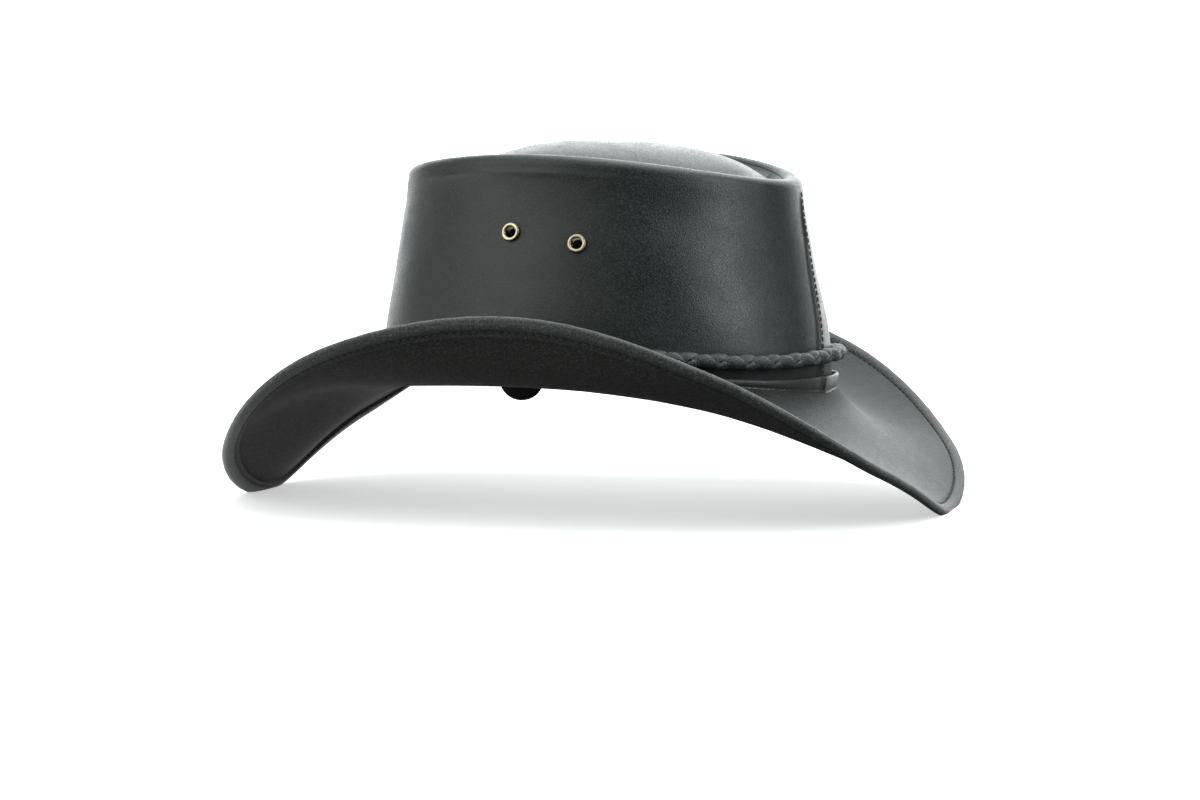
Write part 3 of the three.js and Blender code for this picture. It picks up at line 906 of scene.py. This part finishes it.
def bandMiddle(turn):
    lift = bandSet["lift"] + bandSet["frontLift"] * frontShare(turn)
    level = stripTopHeight(turn) + hat["gap"] + bandSet["radius"] + lift
    bottom = brimTopHeight(turn, hat["wall"]) + hat["gap"]
    top = crestHeight(turn) - hat["rollRadius"]
    point, out, proud = sidePoint(turn, (level - bottom) / (top - bottom))
    point = point + out * (bandSet["radius"] + hat["gap"])
    point.z = level
    return point, out


bandLength = math.pi * (hat["headLength"] + hat["headWidth"]) / 2 + tau * bandSet["radius"]
lozenges = round(bandLength / bandSet["lozenge"])
bandTurn = tau / (2 * lozenges)
joinStart = round(math.radians(bandSet["sleeveAngle"]) / bandTurn)
joinSteps = 2
joinMiddle = (joinStart + joinSteps / 2) * bandTurn
joinHalf = joinSteps / 2 * bandTurn


# How far the laces are squeezed together where the sleeve holds them
def squeeze(turn):
    away = abs(wrapped(turn - joinMiddle)) - joinHalf
    share = min(max(away / (bandTurn * 0.9), 0), 1)
    return lerp(0.52, 1, share * share * (3 - 2 * share))


# Slope of a lace across the braid
laceSlope = math.atan(math.pi * bandSet["middleRadius"] / bandSet["lozenge"])


def laceLine(direction, phase):
    steps = bandSet["steps"]
    rings = []
    for index in range(steps):
        turn = joinMiddle + index * tau / steps
        middle, out = bandMiddle(turn)
        ahead = bandMiddle(turn + 0.004)[0] - bandMiddle(turn - 0.004)[0]
        ahead.normalize()
        side = ahead.cross(out).normalized()
        out = side.cross(ahead).normalized()
        twist = math.pi * lozenges * index / steps
        around = direction * twist + phase
        radius = bandSet["middleRadius"] + direction * bandSet["weave"] * math.cos(2 * twist)
        rings.append((middle, out, side, ahead, around, radius, squeeze(turn)))
    return rings


def sweepLace(name, direction, phase):
    rings = laceLine(direction, phase)
    sides = bandSet["sides"]
    letGo()
    bpy.ops.mesh.primitive_circle_add(vertices=sides, radius=0.001)
    piece = bpy.context.object
    piece.name = piece.data.name = name
    bpy.ops.object.mode_set(mode="EDIT")
    bpy.ops.mesh.select_all(action="SELECT")
    mesh = bmesh.from_edit_mesh(piece.data)
    sideLayer = mesh.verts.layers.float.new("side")
    wearAndShadeLayer = mesh.verts.layers.float.new("wearAndShade")
    for vert in mesh.verts:
        vert[sideLayer] = math.atan2(vert.co.y, vert.co.x)
    bpy.ops.mesh.edge_face_add()
    for index, (middle, out, side, ahead, around, radius, tight) in enumerate(rings):
        if index > 0:
            bpy.ops.mesh.extrude_region()
        mesh = bmesh.from_edit_mesh(piece.data)
        sideLayer = mesh.verts.layers.float["side"]
        wearAndShadeLayer = mesh.verts.layers.float["wearAndShade"]
        for vert in mesh.verts:
            if vert.select:
                flat = math.cos(vert[sideLayer])
                rise = math.sin(vert[sideLayer])
                rise = math.copysign(abs(rise) ** 0.7, rise)
                across = flat * bandSet["laceWidth"] / 2  # the lace wraps round the braid as it crosses it
                angle = around + direction * across * math.cos(laceSlope) / bandSet["middleRadius"]
                reach = radius - bandSet["tuck"] * flat * flat + rise * bandSet["laceThickness"] / 2
                point = (middle - ahead * (across * math.sin(laceSlope) * tight)
                         + (out * math.cos(angle) + side * math.sin(angle)) * (reach * tight))
                vert.co = placed(point)
                # The top face's edges are rubbed pale (wear); the downward-facing half of the lace gets
                # painted shade.
                edge = 0.8 * bulge((abs(flat) - 0.8) / 0.2) if rise > 0 else 0.0
                vert[wearAndShadeLayer] = edge - 0.9 * max(0, math.sin(angle)) ** 0.7 * (1 - 0.6 * edge)
        bmesh.update_edit_mesh(piece.data)
    bpy.ops.mesh.select_all(action="SELECT")
    bpy.ops.mesh.normals_make_consistent(inside=False)
    bpy.ops.object.mode_set(mode="OBJECT")
    piece.data.attributes.remove(piece.data.attributes["side"])
    smoothOver(piece, 70)
    piece.data.materials.append(braidLeather)
    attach(piece, "root")
    return piece


laces = [
    sweepLace("lace_one", 1, 0), sweepLace("lace_two", 1, math.pi),
    sweepLace("lace_three", -1, 0), sweepLace("lace_four", -1, math.pi),
]
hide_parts("hat_band")
print("braid made")

# Sleeve over the join of the braid
sleeveSet = {"wall": 1.0, "steps": 14, "sides": 24}


def sleevePoint(along, angle, radius):
    turn = (joinStart + joinSteps * along) * bandTurn
    middle, out = bandMiddle(turn)
    ahead = (bandMiddle(turn + 0.004)[0] - bandMiddle(turn - 0.004)[0]).normalized()
    side = ahead.cross(out).normalized()
    return middle + side.cross(ahead) * radius * math.cos(angle) + side * radius * math.sin(angle)


def makeSleeve():
    inner = bandSet["joinRadius"] + hat["gap"]
    outer = inner + sleeveSet["wall"]
    steps = sleeveSet["steps"]
    rows = [(0, inner)] + [(0, lerp(inner, outer, share)) for share in (0.4, 0.8)] + [(0.02, outer)]
    rows += [(index / steps, outer - 0.12 * bulge((index / steps - 0.5) / 0.12)) for index in range(1, steps)]
    rows += [(0.98, outer)] + [(1, lerp(inner, outer, share)) for share in (0.8, 0.4)] + [(1, inner)]
    rows += [(share, inner) for share in (0.75, 0.5, 0.25, 0)]
    piece = drawRings("sleeve_leather_piece", evenTurns(sleeveSet["sides"]), len(rows),
                      lambda angle, row: sleevePoint(rows[row][0], angle, rows[row][1]))
    piece.data.materials.append(crownLeather)
    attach(piece, "root")
    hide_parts("band_sleeve")
    return piece


makeSleeve()
print("sleeve made")

# Vent eyelets
eyeletSet = {
    "bore": 2.4, "flange": 4.3, "barrel": 2.95, "dome": 1.3,
    "backFlange": 3.9, "backThickness": 0.6, "sides": 48,
    "vents": [(-0.1125, 0.68, "back"), (0.045, 0.633, "front")],
}


def ventPlace(along, height, side):
    turn = side * math.acos(along * 2)
    point = sidePoint(turn, height)[0]
    step = 0.02
    alongWall = sidePoint(turn + step, height)[0] - sidePoint(turn - step, height)[0]
    upWall = sidePoint(turn, height + step)[0] - sidePoint(turn, height - step)[0]
    return point, alongWall.cross(upWall).normalized()


def eyeletProfile():
    bore, flange, barrel = eyeletSet["bore"], eyeletSet["flange"], eyeletSet["barrel"]
    gap, dome = hat["gap"], eyeletSet["dome"]
    back = -hat["wall"] - gap
    wide = flange - bore
    backFlange = eyeletSet["backFlange"]
    behind = back - eyeletSet["backThickness"]
    rows = [(bore, behind, 0), (backFlange, behind, 0), (backFlange, back, 0.2)]
    rows += [(barrel, back, 0), (barrel, gap, 0), (flange - 0.1, gap, 0)]
    for angle in range(0, 181, 15):
        rise = math.sin(math.radians(angle)) ** 0.8
        rows.append((bore + wide / 2 + wide / 2 * math.cos(math.radians(angle)),
                     gap + 0.2 + (dome - 0.2) * rise,
                     0.95 * bulge((angle - 92) / 34)))
    rows += [(bore, gap - 0.6, 0.1), (bore, behind, 0)]
    return rows


def makeEyelet(name, node, place):
    point, axis = place
    rows = eyeletProfile()
    turned = Vector((0, 0, 1)).rotation_difference(axis)

    def spot(turn, row):
        radius, height, wearAndShade = rows[row]
        return point + turned @ Vector((radius * math.cos(turn), radius * math.sin(turn), height))

    piece = drawRings(
        name, evenTurns(eyeletSet["sides"]), len(rows), spot,
        wearAndShadeAt=lambda turn, row: rows[row][2], smooth=40,
    )
    piece.data.materials.append(agedBrass)
    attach(piece, "root")
    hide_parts(node)
    return piece


def cutVent(place):
    point, axis = place
    letGo()
    bpy.ops.mesh.primitive_cylinder_add(
        vertices=32, radius=(eyeletSet["barrel"] + hat["gap"]) * mm, depth=12 * mm,
    )
    cutter = bpy.context.object
    turned = axis.to_track_quat("Z", "Y").to_matrix().to_4x4()
    cutter.matrix_world = Matrix.Translation(placed(point)) @ turned
    pick(crownPiece)
    cut = crownPiece.modifiers.new("vent", "BOOLEAN")
    cut.object = cutter
    cut.operation = "DIFFERENCE"
    cut.solver = "EXACT"
    bpy.ops.object.modifier_apply(modifier="vent")
    bpy.data.objects.remove(cutter)


for side, sideName in ((-1, "near"), (1, "far")):
    for along, height, endName in eyeletSet["vents"]:
        ventSpot = ventPlace(along, height, side)
        cutVent(ventSpot)
        makeEyelet(f"brass_eyelet_{sideName}_{endName}", f"eyelet_{sideName}_{endName}", ventSpot)
print("eyelets made")

# Tab inside the head opening
tabSet = {"width": 21, "length": 18.5, "drop": 9.5, "thickness": 1.6, "angle": -99, "gap": 1}


def makeTab():
    turn = math.radians(tabSet["angle"])
    point, out = openingAt(turn)
    under = brimTopHeight(turn, 0) - brimSet["thickness"]
    base = point + out * (-tabSet["gap"] - tabSet["thickness"])
    base.z = under
    along = Vector((-out.y, out.x, 0))
    letGo()
    bpy.ops.mesh.primitive_circle_add(vertices=64, radius=1, fill_type="NGON")
    piece = bpy.context.object
    piece.name = piece.data.name = "tab_leather_piece"
    bpy.ops.object.mode_set(mode="EDIT")
    mesh = bmesh.from_edit_mesh(piece.data)
    half = tabSet["width"] / 2
    for vert in mesh.verts:
        if vert.co.y <= 0.0001:
            wide, high = vert.co.x * half, vert.co.y * tabSet["drop"]
        else:
            wide = max(min(vert.co.x * 1.5, 1), -1) * half
            high = (tabSet["length"] - tabSet["drop"]) * min(vert.co.y * 1.6, 1)
        vert.co = placed(base + along * wide + Vector((0, 0, high)))
    bmesh.update_edit_mesh(piece.data)
    bpy.ops.mesh.select_all(action="SELECT")
    bpy.ops.mesh.normals_make_consistent(inside=False)
    bpy.ops.mesh.extrude_region_move(TRANSFORM_OT_translate={"value": out * tabSet["thickness"] * mm})
    bpy.ops.mesh.select_all(action="SELECT")
    bpy.ops.mesh.normals_make_consistent(inside=False)
    bpy.ops.object.mode_set(mode="OBJECT")
    pick(piece)
    soft = piece.modifiers.new("soft edge", "BEVEL")
    soft.width = 0.35 * mm
    soft.segments = 3
    soft.limit_method = "ANGLE"
    bpy.ops.object.modifier_apply(modifier="soft edge")
    smoothOver(piece, 35)
    piece.data.materials.append(glossShadeLeather)
    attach(piece, "root")
    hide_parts("opening_tab")


makeTab()
print("tab made")

# Stitches. One is modelled and copied along each seam, half sunk in the leather.
stitchSet = {"length": 2.7, "pitch": 3.5, "radius": 0.5}


def stitchShape(length, radius):
    letGo()
    bpy.ops.mesh.primitive_cylinder_add(
        vertices=8, radius=radius * mm, depth=length * 0.55 * mm, rotation=(0, math.pi / 2, 0),
    )
    shape = bpy.context.object
    bpy.ops.object.transform_apply(location=True, rotation=True, scale=True)
    bpy.ops.object.mode_set(mode="EDIT")
    mesh = bmesh.from_edit_mesh(shape.data)
    ends = [face for face in mesh.faces if abs(face.normal.x) > 0.9]
    for face in mesh.faces:
        face.select = face in ends
    bmesh.update_edit_mesh(shape.data)
    bpy.ops.mesh.inset(thickness=0.35 * radius * mm, depth=0.2 * length * mm, use_individual=True)
    bpy.ops.object.mode_set(mode="OBJECT")
    return shape


def sewAlong(name, line, length, pitch, radius, material):
    shape = stitchShape(length, radius)
    distances = [0.0]
    for before, after in zip(line, line[1:]):
        distances.append(distances[-1] + (after[0] - before[0]).length)
    count = int(distances[-1] / (pitch * mm))
    copies = []
    segment = 0
    for index in range(count):
        distance = (index + 0.5) * distances[-1] / count
        while distances[segment + 1] < distance:
            segment += 1
        share = (distance - distances[segment]) / (distances[segment + 1] - distances[segment])
        start, end = line[segment], line[segment + 1]
        ahead = (end[0] - start[0]).normalized()
        normal = start[1].lerp(end[1], share).normalized()
        across = normal.cross(ahead).normalized()
        normal = ahead.cross(across)
        turned = Matrix((ahead, across, normal)).transposed().to_4x4()
        copy = bpy.data.objects.new(f"{name}_{index}", shape.data.copy())
        bpy.context.collection.objects.link(copy)
        copy.data.transform(Matrix.Translation(start[0].lerp(end[0], share)) @ turned)
        copies.append(copy)
    letGo()
    for copy in copies:
        copy.select_set(True)
    bpy.context.view_layer.objects.active = copies[0]
    bpy.ops.object.join()
    bpy.data.objects.remove(shape)
    seam = bpy.context.object
    seam.name = seam.data.name = name
    smoothOver(seam, 60)
    seam.data.materials.append(material)
    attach(seam, "root")
    return seam


def snapped(tree, point, lift):
    spot, normal, index, distance = tree.find_nearest(point)
    return spot + normal * lift * mm, normal


def hemLine(tree, sign):
    line = []
    for index in range(721):
        turn = index * tau / 720
        width = brimWidthAt(turn)
        top = brimSet["thickness"] / 2
        above = top if sign > 0 else top - brimSet["hemThickness"]
        point = placed(clampedBrim(turn, width - brimSet["grooveFromEdge"], above))
        line.append(snapped(tree, point, 0.12))
    return line


brimTree = treeOf(brimPiece)
sewAlong("hem_stitches_top", hemLine(brimTree, 1), stitchSet["length"], stitchSet["pitch"],
         stitchSet["radius"],
         blackThread)
sewAlong("hem_stitches_under", hemLine(brimTree, -1), stitchSet["length"], stitchSet["pitch"],
         stitchSet["radius"],
         blackThread)

crownTree = treeOf(crownPiece)


def frontSeamLine(degreesPast):
    line = []
    for index in range(61):
        height = 0.02 + 0.97 * index / 60
        point = sidePoint(math.radians(crownSet["lapFoot"] + degreesPast), height)[0]
        line.append(snapped(crownTree, placed(point), 0.05))
    return line


sewAlong("front_seam_stitches", frontSeamLine(1.2), 2.3, 3.0, 0.36, blackThread)

stripTree = treeOf(stripPiece)


def stripLine():
    line = []
    for index in range(721):
        turn = index * tau / 720
        point, out = openingAt(turn)
        share = hat["wall"] + hat["gap"] + lapLift(turn) + stripSet["thickness"] * 0.92
        point = point + out * share
        point.z = lerp(brimTopHeight(turn, share) + hat["gap"], stripTopHeight(turn), 0.16)
        line.append(snapped(stripTree, placed(point), 0.02))
    return line


sewAlong("strip_stitches", stripLine(), 2.4, 3.3, 0.3, blackThread)
print("stitches made")

# Frayed fibres at the front of the braid
random.seed(11)


def makeFibres():
    pieces = []
    for index in range(9):
        turn = math.radians(random.uniform(-16, 6))
        middle, out = bandMiddle(turn)
        ahead = (bandMiddle(turn + 0.01)[0] - bandMiddle(turn - 0.01)[0]).normalized()
        start = middle + out * 3.2 + Vector((0, 0, random.uniform(-1.5, 2.5)))
        lean = (out * random.uniform(0.6, 1.2) + ahead * random.uniform(-0.8, 0.8)
                + Vector((0, 0, random.uniform(-0.5, 0.9)))).normalized()
        curl = Vector((random.uniform(-1, 1), random.uniform(-1, 1), random.uniform(-1, 1))) * 0.5
        length = random.uniform(2.0, 4.5)
        letGo()
        bpy.ops.mesh.primitive_circle_add(vertices=5, radius=0.12 * mm, fill_type="NGON")
        fibre = bpy.context.object
        bpy.ops.object.mode_set(mode="EDIT")
        mesh = bmesh.from_edit_mesh(fibre.data)
        turned = lean.to_track_quat("Z", "Y").to_matrix()
        for vert in mesh.verts:
            vert.co = placed(start) + turned @ vert.co
        bmesh.update_edit_mesh(fibre.data)
        bpy.ops.mesh.select_all(action="SELECT")
        for step in range(5):
            move = (lean + curl * step / 4).normalized() * length / 5 * mm
            bpy.ops.mesh.extrude_region_move(TRANSFORM_OT_translate={"value": move})
            bpy.ops.transform.resize(value=(0.8, 0.8, 0.8))
        bpy.ops.mesh.select_all(action="SELECT")
        bpy.ops.mesh.normals_make_consistent(inside=False)
        bpy.ops.object.mode_set(mode="OBJECT")
        pieces.append(fibre)
    letGo()
    for fibre in pieces:
        fibre.select_set(True)
    bpy.context.view_layer.objects.active = pieces[0]
    bpy.ops.object.join()
    fibres = bpy.context.object
    fibres.name = fibres.data.name = "braid_fibres"
    fibres.data.materials.append(looseFibre)
    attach(fibres, "root")


makeFibres()
print("fibres made")


# Studio: a pale floor, a pale room and soft boxes
studio = {
    # direction round from the camera's side (degrees), height, distance, width, tall, brightness, tint
    "boxes": {
        "left box": (-55, 0.85, 1.5, 1.75, 1.0, 2.0, (0.95, 1.0, 0.97)),
        "left edge box": (-112, 0.75, 1.5, 0.4, 1.0, 1.0, (0.97, 1.0, 0.98)),
        "low left box": (-62, 0.1, 1.0, 0.7, 0.16, 2.0, (1.0, 1.0, 0.94)),
        "right box": (58, 0.8, 1.5, 0.4, 1.0, 10.5, (0.93, 0.97, 1.0)),
        "low right box": (70, 0.1, 1.0, 0.5, 0.16, 2.0, (1.0, 1.0, 0.98)),
        "top box": (142, 1.7, 0.6, 1.2, 1.2, 3.0, (0.96, 1.0, 1.0)),
    },
    "room": 4.3, "front": 0.06,
}


def aimAt(lamp, target):
    lamp.rotation_euler = (target - lamp.location).to_track_quat("-Z", "Y").to_euler()


def lightStudio():
    letGo()
    bpy.ops.mesh.primitive_plane_add(size=40)
    floor = bpy.context.object
    floor.name = "floor"
    material = bpy.data.materials.new("pale floor")
    material.use_nodes = True
    tree = material.node_tree
    shader = tree.nodes["Principled BSDF"]
    path = tree.nodes.new("ShaderNodeLightPath")
    place = tree.nodes.new("ShaderNodeTexCoord")
    toBack = tree.nodes.new("ShaderNodeVectorMath")
    toBack.operation = "DOT_PRODUCT"
    toBack.inputs[1].default_value = (-0.7, 0.7, 0)
    tree.links.new(place.outputs["Object"], toBack.inputs[0])
    depth = addNode(tree, "ShaderNodeMapRange", interpolation_type="SMOOTHSTEP")
    depth.inputs["From Min"].default_value = -0.1
    depth.inputs["From Max"].default_value = 0.14
    tree.links.new(toBack.outputs["Value"], depth.inputs["Value"])
    shaded = mixColor(tree, depth.outputs[0], (0.2, 0.2, 0.195), (0.8, 0.8, 0.78))  # less bounce in front
    pale = mixColor(tree, path.outputs["Is Camera Ray"], shaded, (0.9, 0.9, 0.9))
    tree.links.new(pale, shader.inputs["Base Color"])
    shader.inputs["Roughness"].default_value = 0.9
    shader.inputs["Specular IOR Level"].default_value = 0.1
    shader.inputs["Emission Color"].default_value = (1, 1, 1, 1)
    glow = mathNode(tree, "MULTIPLY", depth.outputs[0], 0.5)
    glow = mathNode(tree, "MULTIPLY", glow, mathNode(tree, "SUBTRACT", 1.0, path.outputs["Is Camera Ray"]))
    glow = mathNode(tree, "ADD", glow, mathNode(tree, "MULTIPLY", path.outputs["Is Camera Ray"], 0.5))
    tree.links.new(glow, shader.inputs["Emission Strength"])
    floor.data.materials.append(material)

    cameraSide = -math.pi / 2 + view["around"]
    for name, (around, height, distance, width, tall, bright, tint) in studio["boxes"].items():
        angle = cameraSide + math.radians(around)
        lampPlace = (distance * math.cos(angle), distance * math.sin(angle), height)
        bpy.ops.object.light_add(type="AREA", location=lampPlace)
        lamp = bpy.context.object
        lamp.name = name
        lamp.data.shape = "RECTANGLE"
        lamp.data.size = width
        lamp.data.size_y = tall
        lamp.data.energy = bright * math.pi * width * tall
        lamp.data.color = tint
        aimAt(lamp, Vector((0, 0, 0.08)))

    world = bpy.data.worlds.new("pale room")
    bpy.context.scene.world = world
    world.use_nodes = True
    tree = world.node_tree
    links = tree.links
    background = tree.nodes["Background"]
    place = tree.nodes.new("ShaderNodeTexCoord")
    split = tree.nodes.new("ShaderNodeSeparateXYZ")
    links.new(place.outputs["Generated"], split.inputs[0])
    facing = tree.nodes.new("ShaderNodeVectorMath")
    facing.operation = "DOT_PRODUCT"
    facing.inputs[1].default_value = (-0.14, 0.99, 0.05)
    links.new(place.outputs["Generated"], facing.inputs[0])
    behind = addNode(tree, "ShaderNodeMapRange", interpolation_type="SMOOTHSTEP")
    behind.inputs["From Min"].default_value = 0.55
    behind.inputs["From Max"].default_value = 1.0
    links.new(facing.outputs["Value"], behind.inputs["Value"])
    above = addNode(tree, "ShaderNodeMapRange", interpolation_type="SMOOTHSTEP")
    above.inputs["From Min"].default_value = 0.5
    above.inputs["From Max"].default_value = 0.95
    links.new(split.outputs["Z"], above.inputs["Value"])
    bright = mathNode(tree, "MAXIMUM", behind.outputs[0], mathNode(tree, "MULTIPLY", above.outputs[0], 0.35))
    path = tree.nodes.new("ShaderNodeLightPath")
    seen = mathNode(tree, "MAXIMUM", bright, path.outputs["Is Camera Ray"])
    level = addNode(tree, "ShaderNodeMapRange")
    level.inputs["To Min"].default_value = studio["front"]
    level.inputs["To Max"].default_value = studio["room"]
    links.new(seen, level.inputs["Value"])
    links.new(level.outputs[0], background.inputs["Strength"])
    tint = mixColor(tree, path.outputs["Is Camera Ray"], (0.95, 1.0, 1.0), (1.0, 1.0, 1.0))
    links.new(tint, background.inputs["Color"])
    bpy.context.scene.view_settings.view_transform = "Standard"


lightStudio()
letGo()
bpy.context.view_layer.update()
print("studio set")
